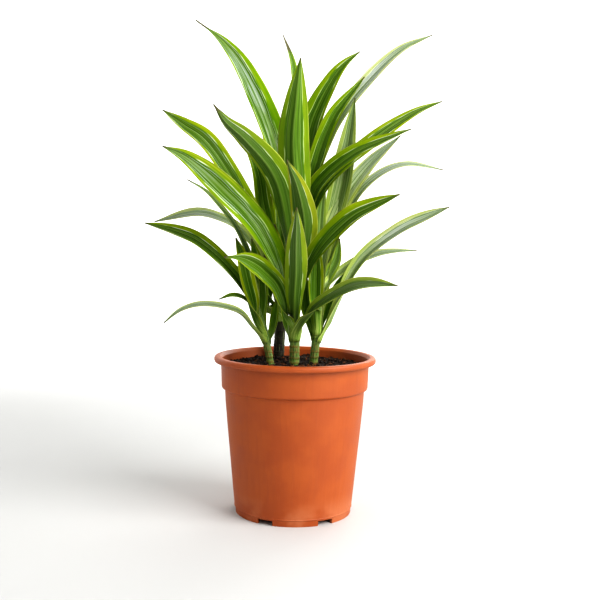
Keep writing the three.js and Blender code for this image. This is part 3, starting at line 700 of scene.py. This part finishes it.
def pot_outline():
    """The pot's section from the middle of its underside, round the rim, to the middle of its floor."""
    top, wall = POT.height, POT.wall
    skirt = top - POT.rim_depth
    undercut = top - POT.rim_thickness - 0.9
    foot_radius, foot_z = POT.foot_line
    middle_radius, middle_z = POT.middle
    bend_radius, bend_z = POT.bend
    floor_top = POT.floor_underside + POT.floor_thickness
    foot = [
        (0, POT.floor_underside, 0),
        (POT.foot_inner_radius, POT.floor_underside, 0),
        (POT.foot_inner_radius + 0.8, 0, 0),
        (POT.foot_outer_radius, 0, 0.3),
        (POT.foot_outer_radius + 0.4, foot_z - 0.3, 0.3),
    ]
    side = [
        (foot_radius + 0.3, foot_z, 0.4),
        (foot_radius, foot_z + 1, 0.6),
        (lerp(foot_radius, middle_radius, 0.5), lerp(foot_z, middle_z, 0.5), 0),
        (middle_radius, middle_z, 0),
        (lerp(middle_radius, bend_radius, 0.5) + 0.08, lerp(middle_z, bend_z, 0.5), 0),
        (bend_radius, bend_z, 0),
        (POT.shoulder_radius, POT.shoulder_z, 1.2),
        (POT.collar_bottom_radius - 0.5, POT.collar_bottom_z - 1, 0.5),
        (POT.collar_bottom_radius, POT.collar_bottom_z, 0.8),
        (POT.collar_top_radius, undercut, 0.5),
    ]
    rim = [
        (POT.rim_radius - POT.rim_thickness, undercut, 0),
        (POT.rim_radius - POT.rim_thickness, skirt, 0.3),
        (POT.rim_radius - 0.7, skirt, 0.5),
        (POT.rim_radius, skirt + 1.4, 1),
        (POT.rim_radius, top - 1.6, 1.2),
        (POT.rim_radius - 0.7, top - 0.5, 1),
        (POT.rim_radius - 1.9, top, 1),
        (POT.rim_inner_radius + 0.9, top, 0.8),
        (POT.rim_inner_radius, top - 0.6, 0.8),
    ]
    inside = [
        (POT.collar_top_radius - wall, top - 2.4, 1),
        (POT.collar_bottom_radius - wall, POT.collar_bottom_z, 0),
        (POT.shoulder_radius - wall, POT.shoulder_z - 1, 0),
        (bend_radius - wall, bend_z, 0),
        (middle_radius - wall, middle_z, 0),
        (foot_radius - wall, floor_top, 0),
        (0, floor_top, 0),
    ]
    return filleted(foot + side + rim + inside)


def prism(name, outline, low, high):
    """A closed block with this outline of (x, y)."""
    sides = len(outline)
    points = [(x, y, z) for z in (low, high) for x, y in outline]
    caps = [tuple(reversed(range(sides))), tuple(range(sides, 2 * sides))]
    return add_mesh(name, points, tube_faces(2, sides) + caps)


def notch_cutter(angle):
    """A box across the foot ring at this angle."""
    half = NOTCH.width / 2
    near = POT.foot_outer_radius - NOTCH.depth / 2
    far = POT.foot_outer_radius + NOTCH.depth / 2
    turn = Matrix.Rotation(angle, 2)
    outline = [turn @ Vector(c) for c in ((near, -half), (far, -half), (far, half), (near, half))]
    return prism("notch_cutter", outline, -1, POT.foot_line[1] - NOTCH.roof)


def drain_cutter(angle):
    x, y = DRAIN.from_axis * math.cos(angle), DRAIN.from_axis * math.sin(angle)
    outline = [(x + step_x, y + step_y) for step_x, step_y, _ in circle(DRAIN.radius, DRAIN.sides)]
    low = POT.floor_underside - DRAIN.clear
    return prism("drain_cutter", outline, low, low + POT.floor_thickness + 2 * DRAIN.clear)


def cut_piece(piece, cutters):
    """Cuts the cutters out of the piece and leaves one plain mesh."""
    for cutter in cutters:
        tool = piece.modifiers.new("cut", "BOOLEAN")
        tool.operation = "DIFFERENCE"
        tool.solver = "EXACT"
        tool.object = cutter
    bpy.context.view_layer.update()
    shape = piece.evaluated_get(bpy.context.evaluated_depsgraph_get())
    cut = bpy.data.meshes.new_from_object(shape)
    piece.modifiers.clear()
    piece.data = cut
    for cutter in cutters:
        bpy.data.objects.remove(cutter)


def make_pot():
    points, faces = revolve(pot_outline(), POT.segments)
    piece = make_piece("nursery_pot", points, faces, pot_look(), "pot")
    cutters = []
    for k in range(NOTCH.count):
        angle = math.radians(NOTCH.first_angle + k * 360 / NOTCH.count)
        cutters += [notch_cutter(angle), drain_cutter(angle)]
    cut_piece(piece, cutters)
    add_attribute(piece.data, "place", np.array([vertex.co for vertex in piece.data.vertices]) / MM)
    piece.data.polygons.foreach_set("use_smooth", [True] * len(piece.data.polygons))
    piece.data.set_sharp_from_angle(angle=math.radians(POT.sharp_angle))
    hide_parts("pot")


# ---------------------------------------------------------------- soil

# The soil lies this far inside the pot's outer skin, and meets the collar at this share of its height.
SOIL_INSET = POT.wall + SOIL.gap
EDGE_SHARE = (SOIL.edge_z - POT.collar_bottom_z) / (POT.height - POT.collar_bottom_z)
SOIL_RADIUS = lerp(POT.collar_bottom_radius, POT.collar_top_radius, EDGE_SHARE) - SOIL_INSET


def soil_top(x, y):
    """Height of the soil's top at a place, without its loose crumbs."""
    share = min(1.0, math.hypot(x, y) / SOIL_RADIUS)
    relief = 0.9 * math.sin(0.13 * x + 0.6) * math.cos(0.11 * y + 0.3)
    for height, fineness, seed in RELIEF:
        relief += height * noise.noise(Vector((fineness * x, fineness * y, seed)))
    calm = 1 - 0.6 * smoothstep(share, 0.93, 1.0)
    return lerp(SOIL.middle_z, SOIL.edge_z, share * share) + relief * calm


def make_soil():
    """The packed soil with its crumbly top."""
    bottom = POT.floor_underside + POT.floor_thickness + SOIL.gap
    side = [
        (0, bottom),
        (POT.foot_line[0] - SOIL_INSET, bottom),
        (POT.middle[0] - SOIL_INSET, POT.middle[1]),
        (POT.bend[0] - SOIL_INSET, POT.bend[1]),
        (POT.shoulder_radius - SOIL_INSET, POT.shoulder_z - 1),
        (POT.collar_bottom_radius - SOIL_INSET, POT.collar_bottom_z + 0.4),
    ]
    top = [(SOIL_RADIUS * (1 - k / SOIL.rings), SOIL.edge_z) for k in range(SOIL.rings)]
    points, faces = revolve(side + top + [(0, SOIL.middle_z)], SOIL.segments)
    for point in points[1 + (len(side) - 1) * SOIL.segments :]:
        point[2] = soil_top(point[0], point[1])
    tone = np.zeros((len(points), 3))
    piece = make_piece("soil_bed", points, faces, soil_material, "soil", place=points, tone=tone)
    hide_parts("potting_soil")


def split_ball():
    """Points and triangles of an icosahedron with each face split in four."""
    g = (1 + math.sqrt(5)) / 2
    corners = [np.roll((a, b, 0), turn) for turn in range(3) for b in (g, -g) for a in (-1, 1)]
    faces = [(0, 11, 5), (0, 5, 1), (0, 1, 7), (0, 7, 10), (0, 10, 11), (1, 5, 9), (5, 11, 4), (11, 10, 2),
             (10, 7, 6), (7, 1, 8), (3, 9, 4), (3, 4, 2), (3, 2, 6), (3, 6, 8), (3, 8, 9), (4, 9, 5),
             (2, 4, 11), (6, 2, 10), (8, 6, 7), (9, 8, 1)]
    points = list(unit(np.array(corners)))
    middles = {}
    triangles = []
    for a, b, c in faces:
        for u, v in ((a, b), (b, c), (c, a)):
            if frozenset((u, v)) not in middles:
                middles[frozenset((u, v))] = len(points)
                points.append(unit(points[u] + points[v]))
        ab, bc, ca = (middles[frozenset(edge)] for edge in ((a, b), (b, c), (c, a)))
        triangles += [(a, ab, ca), (b, bc, ab), (c, ca, bc), (ab, bc, ca)]
    return np.array(points), triangles


def random_place(rng, from_edge):
    """A place on the soil, at least from_edge inside its edge."""
    radius = (SOIL_RADIUS - from_edge) * math.sqrt(rng.uniform(0.02, 1))
    angle = rng.uniform(0, 2 * math.pi)
    return radius * math.cos(angle), radius * math.sin(angle)


def crumb(rng, ball):
    """Points of a loose crumb, a ball pushed in and out, and how brown it is."""
    x, y = random_place(rng, CRUMBS.from_edge)
    size = CRUMBS.smallest + CRUMBS.size_range * rng.uniform() ** 2.6
    shape = ball * (1 + rng.uniform(-0.32, 0.25, (len(ball), 1)))
    shape *= size * rng.uniform(0.6, 1.25, 3)
    spin = np.array(Matrix.Rotation(rng.uniform(0, 2 * math.pi), 3, Vector(unit(rng.normal(size=3)))))
    z = soil_top(x, y) + size * rng.uniform(-0.1, 0.45)
    brown = rng.uniform(0.5, 1) if rng.uniform() < CRUMBS.brown_share else rng.uniform(0, 0.35)
    return shape @ spin.T + (x, y, z), brown


def fibre(rng):
    """Points of a thin fibre that arches over the soil, ring by ring, and how brown it is."""
    place = np.array(random_place(rng, FIBRES.from_edge))
    heading = rng.uniform(0, 2 * math.pi)
    length, radius = rng.uniform(*FIBRES.length), rng.uniform(*FIBRES.radius)
    points = []
    for k in range(FIBRES.rings):
        heading += rng.uniform(-0.25, 0.25)
        place = place + length / FIBRES.rings * np.array([math.cos(heading), math.sin(heading)])
        z = soil_top(*place) + 0.5 + 0.8 * math.sin(k * math.pi / (FIBRES.rings - 1))
        across = np.array([-math.sin(heading), math.cos(heading), 0])
        taper = 1 - 0.6 * k / FIBRES.rings
        for sideways, up, _ in circle(radius * taper, FIBRES.sides):
            points.append((*place, z) + across * sideways + (0, 0, up))
    return points, rng.uniform(0.5, 1)


def make_crumbs():
    """Loose crumbs and fibres lying on the soil."""
    rng = np.random.default_rng(11)
    ball, triangles = split_ball()
    bits = [(*crumb(rng, ball), triangles) for _ in range(CRUMBS.count)]
    first_end = tuple(reversed(range(FIBRES.sides)))
    last_end = tuple(FIBRES.sides * (FIBRES.rings - 1) + k for k in range(FIBRES.sides))
    fibre_faces = tube_faces(FIBRES.rings, FIBRES.sides) + [first_end, last_end]
    bits += [(*fibre(rng), fibre_faces) for _ in range(FIBRES.count)]
    points, faces, tones = [], [], []
    for shape, brown, shape_faces in bits:
        faces += [tuple(len(points) + i for i in face) for face in shape_faces]
        points += list(shape)
        tones += [(brown, 0, 0)] * len(shape)
    piece = make_piece("soil_crumbs", points, faces, soil_material, "soil", place=points, tone=tones)
    piece.data.set_sharp_from_angle(angle=math.radians(CRUMBS.sharp_angle))


# ---------------------------------------------------------------- stems


def make_stalk(name, stem, low, high, radius_at, material, slot, scars=()):
    """A stem along its axis. radius_at gives the radius at a height and a turn round the stem."""
    heights = np.arange(low, high + 0.01, STALK.step)
    points, marks = [], []
    for z in heights:
        x, y, _ = axis_at(stem, z)
        from_scar = min((abs(z - scar) for scar in scars), default=SCAR.marked)
        scarred = max(0, 1 - from_scar / SCAR.marked)
        for k in range(STALK.sides):
            turn = k / STALK.sides
            a = 2 * math.pi * turn
            r = radius_at(z + STALK.slant * math.sin(a + z), turn)
            points.append((x + r * math.cos(a), y + r * math.sin(a), z))
            marks.append((turn, z, scarred))
    last = len(points) - STALK.sides
    points += [tuple(axis_at(stem, z)) for z in (heights[0], heights[-1])]
    marks += [(0, z, 0) for z in (heights[0], heights[-1])]
    faces = tube_faces(len(heights), STALK.sides)
    for k in range(STALK.sides):
        n = (k + 1) % STALK.sides
        faces += [(len(points) - 2, n, k), (len(points) - 1, last + k, last + n)]
    return make_piece(name, points, faces, material, slot, stalk=marks)


def make_cane(name, stem, material, slot):
    """A bare cane with raised leaf scars and a slightly uneven girth."""
    r = stem.cane_radius
    seed = r * 7

    def radius_at(z, turn):
        above = [z - scar for scar in stem.scars]
        swell = sum(SCAR.swell * bell(h, SCAR.swell_height) for h in above)
        pinch = sum(SCAR.pinch * bell(h + SCAR.pinch_below, SCAR.pinch_height) for h in above)
        a = 2 * math.pi * turn
        uneven = noise.noise(Vector((math.cos(a), math.sin(a), z * 0.12 + seed)))
        return r + swell - pinch + 0.22 * uneven

    return make_stalk(name, stem, CANE_BOTTOM, stem.cane_top, radius_at, material, slot, stem.scars)


def make_shoot(name, stem, material, slot):
    """The young stem inside the leaf bases, with the worn ends of old sheaths round its foot."""
    low = stem.sheath_bottom

    def radius_at(z, turn):
        lips = 0
        for i, seam in enumerate(SHEATH.seams):
            slant = SHEATH.slant * math.cos(2 * math.pi * (turn - 0.25 - 0.5 * (i % 2)))
            above = z - low - seam - slant
            fade = bell(above, SHEATH.below_lip) if above < 0 else math.exp(-above / SHEATH.above_lip)
            lips += SHEATH.lip * fade
        return float(shoot_radius(stem, z)) - 0.3 + lips * min(1, max(0, (z - low + 1) / 1.5))

    return make_stalk(name, stem, low - 0.4, stem.shoot_top, radius_at, material, slot)


# ---------------------------------------------------------------- leaves


def curve_through(points, samples=48):
    """Points on the centripetal Catmull-Rom curve through the given ones, close together."""
    points = [np.array(p, float) for p in points]
    ends = [2 * points[0] - points[1]] + points + [2 * points[-1] - points[-2]]
    found = []
    for i in range(len(points) - 1):
        p0, p1, p2, p3 = ends[i : i + 4]
        d0, d1, d2 = (math.sqrt(np.linalg.norm(b - a)) for a, b in ((p0, p1), (p1, p2), (p2, p3)))
        t1 = ((p1 - p0) / d0 - (p2 - p0) / (d0 + d1) + (p2 - p1) / d1) * d1
        t2 = ((p2 - p1) / d1 - (p3 - p1) / (d1 + d2) + (p3 - p2) / d2) * d1
        square, cube = 3 * (p2 - p1) - 2 * t1 - t2, 2 * (p1 - p2) + t1 + t2
        t = np.arange(samples)[:, None] / samples
        found.append(p1 + t1 * t + square * t**2 + cube * t**3)
    return np.concatenate(found + [[points[-1]]])


def stations(curve):
    """Places at equal steps of the curve: the places, the directions there, and the shares and the
    millimetres of its length that lie behind them."""
    steps = np.linalg.norm(np.diff(curve, axis=0), axis=1)
    reach = np.concatenate([[0], np.cumsum(steps)])
    count = max(BLADE.fewest_stations, int(reach[-1] / BLADE.stations_apart))
    s = np.linspace(0, 1, count)
    centres = np.stack([np.interp(s * reach[-1], reach, curve[:, k]) for k in range(3)], axis=1)
    return centres, unit(np.gradient(centres, axis=0)), s, s * reach[-1]


def blade_width(leaf, s):
    """Full width of the blade at the shares s of its length."""
    rising = lerp(leaf.base_share, 1, np.sin(np.pi / 2 * np.minimum(s / leaf.broad_at, 1)))
    u = np.clip((s - leaf.broad_at) / (leaf.tail_start - leaf.broad_at), 0, 1)
    blade = leaf.width * np.where(s < leaf.broad_at, rising, (1 - u**2) ** 0.95)
    tail = leaf.tail_width * np.interp(s, [0.8, 1], [1, BLADE.tip_share])
    return (blade**1.5 + tail**1.5) ** (1 / 1.5)


def half_section(leaf, s, reach, width, hug, opened, seed, k):
    """Offsets (sideways, upward) of one half of the blade from its midrib at every station. hug is
    the angle that it wraps round the shoot where it isn't opened."""
    fold = BLADE.fold_at_middle + (BLADE.fold_at_base - BLADE.fold_at_middle) * (1 - s) ** 3
    fold = np.radians(fold)[:, None] * leaf.fold * (1 + 0.2 * wander(2.1 * k, seed))
    curl = (0.3 * (1 - s) ** 3 - 0.25 * smoothstep(s, 0.2, 0.6))[:, None]
    angle = opened * (fold + curl * SHARES) + (1 - opened) * hug * SHARES
    middle = (angle[:, 1:] + angle[:, :-1]) / 2
    step = np.diff(SHARES) * width / 2
    x = np.cumsum(np.cos(middle) * step, axis=1)
    z = np.cumsum(np.sin(middle) * step, axis=1)
    waves = np.sin(reach / (9 + 2 * seed % 3) + 5.1 * k + 3 * seed)
    waves += 0.6 * np.sin(reach / 4.7 + 1.3 * seed + k)
    calm = smoothstep(s, 0.1, 0.3) * (1 - smoothstep(s, 0.8, 0.95))
    z += (BLADE.wave * waves * calm)[:, None] * width * 0.5 * SHARES[1:] ** 2
    return x, z


def blade_sections(leaf, s, reach, base_radius, seed):
    """Offsets (sideways, upward) of the blade's upper skin at every station. The leaf's curve passes
    through the middle of the section where the blade is open, and along the midrib where it clasps."""
    opened = smoothstep(reach, *BLADE.opens)[:, None]
    narrowed = smoothstep(reach, *BLADE.narrows)[:, None]
    width = lerp(2 * BLADE.wrap_angle * base_radius, blade_width(leaf, s)[:, None], narrowed)
    hug = width / 2 / base_radius
    left, right = (half_section(leaf, s, reach, width, hug, opened, seed, k) for k in (0, 1))
    midrib = np.zeros((len(s), 1))
    x = np.concatenate([-left[0][:, ::-1], midrib, right[0]], axis=1)
    z = np.concatenate([left[1][:, ::-1], midrib, right[1]], axis=1)
    middle_height = (z[:, 1:] + z[:, :-1]).mean(axis=1, keepdims=True) / 2
    return x, z - opened * middle_height


def closed_section(x, z, s, reach):
    """The upper skin and back along the lower one, which lies below it along each place's normal."""
    thick = lerp(BLADE.edge_thickness, BLADE.rib_thickness, (1 - np.abs(LANES)) ** 1.6)
    keel = BLADE.keel * bell(LANES, BLADE.keel_width)
    slim = lerp(0.35, 1, smoothstep(reach, 0, 25)) * lerp(1, 0.5, smoothstep(s, 0.6, 1.0))
    lower = (thick + keel) * slim[:, None]
    slope_x, slope_z = np.gradient(x, axis=1), np.gradient(z, axis=1)
    size = np.hypot(slope_x, slope_z)
    x_low, z_low = x + slope_z / size * lower, z - slope_x / size * lower
    return (np.concatenate([a, b[:, -2:0:-1]], axis=1)[..., None] for a, b in ((x, x_low), (z, z_low)))


def blade_faces(count, lanes):
    """Faces of a closed skin of count rings, each of lanes above and all but the edges below."""
    sides = 2 * lanes - 2
    last = (count - 1) * sides
    faces = tube_faces(count, sides)
    for k in range(lanes - 1):
        cap = list(dict.fromkeys([k, k + 1, sides - k - 1, -k % sides]))
        faces += [tuple(reversed(cap)), tuple(last + i for i in cap)]
    return [tuple(reversed(face)) for face in faces]


def leaf_curve(stem, leaf, away, rank):
    """The midrib: up along the shoot inside the clasping base, then out through the leaf's points.
    rank counts the leaves of the shoot from the lowest one, so that no two bases end level."""
    low = max(leaf.root - BLADE.sheath, stem.sheath_bottom + 0.5 + BLADE.base_step * rank)
    top = leaf.root + 3
    outside = BLADE.layer * max(0, 3 - rank)
    clasp = []
    for height, clear in ((low, 0.05), (lerp(low, top, 0.5), 0.3 + outside), (top, 0.6 + outside)):
        clasp.append(axis_at(stem, height) + away * (float(shoot_radius(stem, height)) + clear))
    return curve_through(clasp + leaf.via)


def blade_directions(leaf, along, away, s, reach, seed):
    """Directions across and up at every station. The upper side looks at the shoot where the base
    clasps it, then turns to where the leaf faces, with a slight twist."""
    turn = smoothstep(reach, 4, max(45, 0.4 * reach[-1]))[:, None]
    up = -away * (1 - turn) + unit(np.array(leaf.face, float)) * turn
    up = unit(up - along * (up * along).sum(1, keepdims=True))
    across = np.cross(along, up)
    twist = np.radians(BLADE.twist) * np.array([wander(2.2 * v, seed + 0.31) for v in s])
    twist = (twist * smoothstep(s, 0.25, 0.6))[:, None]
    return across * np.cos(twist) + up * np.sin(twist), up * np.cos(twist) - across * np.sin(twist)


def make_leaf(name, stem, leaf, seed, rank):
    """One leaf: a folded blade whose base wraps the shoot, a keel below and a dry tip."""
    away = unit((np.array(leaf.via[0]) - axis_at(stem, leaf.root)) * (1, 1, 0))
    centres, along, s, reach = stations(leaf_curve(stem, leaf, away, rank))
    across, up = blade_directions(leaf, along, away, s, reach, seed)
    from_axis = np.linalg.norm((centres - axis_at(stem, centres[:, 2]))[:, :2], axis=1)
    base_radius = np.minimum(from_axis, stem.cane_radius + 1.4)[:, None]
    upper = blade_sections(leaf, s, reach, base_radius, seed)
    x, z = closed_section(*upper, s, reach)
    points = centres[:, None] + x * across[:, None] + z * up[:, None]

    lanes = np.concatenate([LANES, LANES[-2:0:-1]])
    below = np.concatenate([np.zeros(len(LANES)), np.ones(len(LANES) - 2)])
    below[[0, len(LANES) - 1]] = 0.4
    shift = 0.12 * wander(8.5, seed) if leaf.shift is None else leaf.shift
    border = leaf.margin + 0.06 * wander(5.5, seed) + shift * np.sign(lanes)
    # how far each station lies out of the crown's shaded heart, where the leaf look paints the blade
    # lighter as painted light
    painted_open_light = smoothstep(np.linalg.norm((centres - CORE.middle) / CORE.size, axis=1), 0.4, 1.05)

    def spread(*values):
        """Vectors of three values at every point, whether given for all, a lane or a station."""
        return np.stack([np.broadcast_to(v, points.shape[:2]).ravel() for v in values], axis=1)

    make_piece(
        name, points.reshape(-1, 3), blade_faces(len(s), len(LANES)), leaf_material, "leaves",
        blade=spread(lanes, (reach[-1] - reach)[:, None], reach[:, None]),
        tone=spread(below, seed * 0.37 % 1, leaf.silver),
        habit=spread(border, leaf.brown, leaf.yellow),
        wear=spread(leaf.pale, painted_open_light[:, None], leaf.deep),
    )


def make_crown(side, stem):
    """All the leaves of one stem, and the shoot they grow from."""
    # the back shoot is dressed in the darker sheath bark, which is painted shade
    sheath = shaded_sheath if side == "back" else sheath_material
    shoot = make_shoot(f"{side}_shoot", stem, sheath, "leaves")
    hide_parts(f"{side}_crown")
    roots = sorted(leaf.root for leaf in LEAVES[side])
    for k, leaf in enumerate(LEAVES[side]):
        seed = k + 1 + 25 * list(STEMS).index(side)
        make_leaf(f"{side}_leaf_{k + 1:02d}", stem, leaf, seed, roots.index(leaf.root))


# ---------------------------------------------------------------- stage, light and camera

CAMERA = Sizes(place=(3.5, -777, 240.5), down=0.072, roll=0.0155, lens=54, sensor=36, clip_start=20)
FLOOR = Sizes(flat=1100, bend=1500, bend_steps=24, wall=3000, sides=96)
KEY_LIGHT = Sizes(place=(1150, -750, 950), target=(0, 0, 200), size=1200, power=29.5)
BACK_LIGHT = Sizes(place=(500, 1200, 900), target=(0, 0, 250), size=900, power=6)
WORLD_LIGHT = 0.4


def make_camera():
    data = bpy.data.cameras.new("camera")
    data.lens = CAMERA.lens
    data.sensor_width = CAMERA.sensor
    data.clip_start = CAMERA.clip_start * MM
    camera = add_object("camera", data)
    turn = Matrix.Rotation(math.pi / 2 - CAMERA.down, 4, "X") @ Matrix.Rotation(CAMERA.roll, 4, "Z")
    camera.matrix_world = Matrix.Translation(Vector(CAMERA.place) * MM) @ turn
    bpy.context.scene.camera = camera


def make_light(name, light):
    data = bpy.data.lights.new(name, "AREA")
    data.size = light.size * MM
    data.energy = light.power
    lamp = add_object(name, data)
    lamp.location = Vector(light.place) * MM
    lamp.rotation_mode = "QUATERNION"
    lamp.rotation_quaternion = (Vector(light.target) - Vector(light.place)).to_track_quat("-Z", "Y")


def paper_look():
    """Pale paper that glows a little far from the plant. Its object coordinates are in metres."""
    look = Look("studio_paper")
    place = look.node("TexCoord", {}, "Object")
    x, depth, _ = place.split()
    away = look.math("SQRT", x * x + depth * depth)
    glow = look.math("MAXIMUM", depth.fit(0.3, 1.7, 0, 0.75), away.fit(0.8, 2.4, 0, 0.17))
    return look.shade(
        Base_Color=look.mix(look.noise(place, 3), "c6c6c4", "cfcfce"),
        Roughness=0.9,
        Specular_IOR_Level=0.1,
        Emission_Color="ffffff",
        Emission_Strength=glow,
    )


def make_floor():
    """A pale floor that sweeps up into a pale backdrop far behind the plant, all round."""
    section = [(radius, 0) for radius in (300, 700, FLOOR.flat)]
    for k in range(1, FLOOR.bend_steps + 1):
        a = math.pi / 2 * k / FLOOR.bend_steps
        section.append((FLOOR.flat + FLOOR.bend * math.sin(a), FLOOR.bend * (1 - math.cos(a))))
    section.append((FLOOR.flat + FLOOR.bend, FLOOR.wall))
    points = [(0, 0, 0)]
    for radius, z in section:
        points += circle(radius, FLOOR.sides, z)
    faces = [(0, 1 + k, 1 + (k + 1) % FLOOR.sides) for k in range(FLOOR.sides)]
    faces += [(1 + a, 1 + d, 1 + c, 1 + b) for a, b, c, d in tube_faces(len(section), FLOOR.sides)]
    floor = add_mesh("studio_floor", points, faces)
    floor.data.materials.append(paper_look())


def make_world():
    world = bpy.data.worlds.new("studio")
    world.use_nodes = True
    background = world.node_tree.nodes["Background"]
    background.inputs["Color"].default_value = (1, 1, 1, 1)
    background.inputs["Strength"].default_value = WORLD_LIGHT
    bpy.context.scene.world = world


# ---------------------------------------------------------------- the plant

bpy.context.scene.view_settings.view_transform = "Standard"
bpy.context.scene.view_settings.look = "High Contrast"
leaf_material = leaf_look()
sheath_material = stalk_look("leaf_sheath", "4a6a22", "6f8c38", "8f9c5c", 0.5)
soil_material = soil_look()
green_bark = stalk_look("green_bark", "42601c", "718a44", "7a5a26", 0.7)
# the back shoot's sheaths: the sheath bark painted darker, which is painted shade where the back stem
# stands behind the others
shaded_sheath = stalk_look("shaded_leaf_sheath", "2a3a15", "3f4f22", "5d5a3c", 0.7)
dark_bark = stalk_look("dark_bark", "1c180f", "33311e", "3a342a", 0.8)

make_camera()
make_pot()
make_soil()
make_crumbs()
for side, stem in STEMS.items():
    bark, slot = (dark_bark, "dark_cane") if side == "back" else (green_bark, "green_cane")
    cane = make_cane(f"{side}_bare_cane", stem, bark, slot)
    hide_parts(f"{side}_cane")
    make_crown(side, stem)

make_floor()
make_world()
make_light("key", KEY_LIGHT)
make_light("back", BACK_LIGHT)
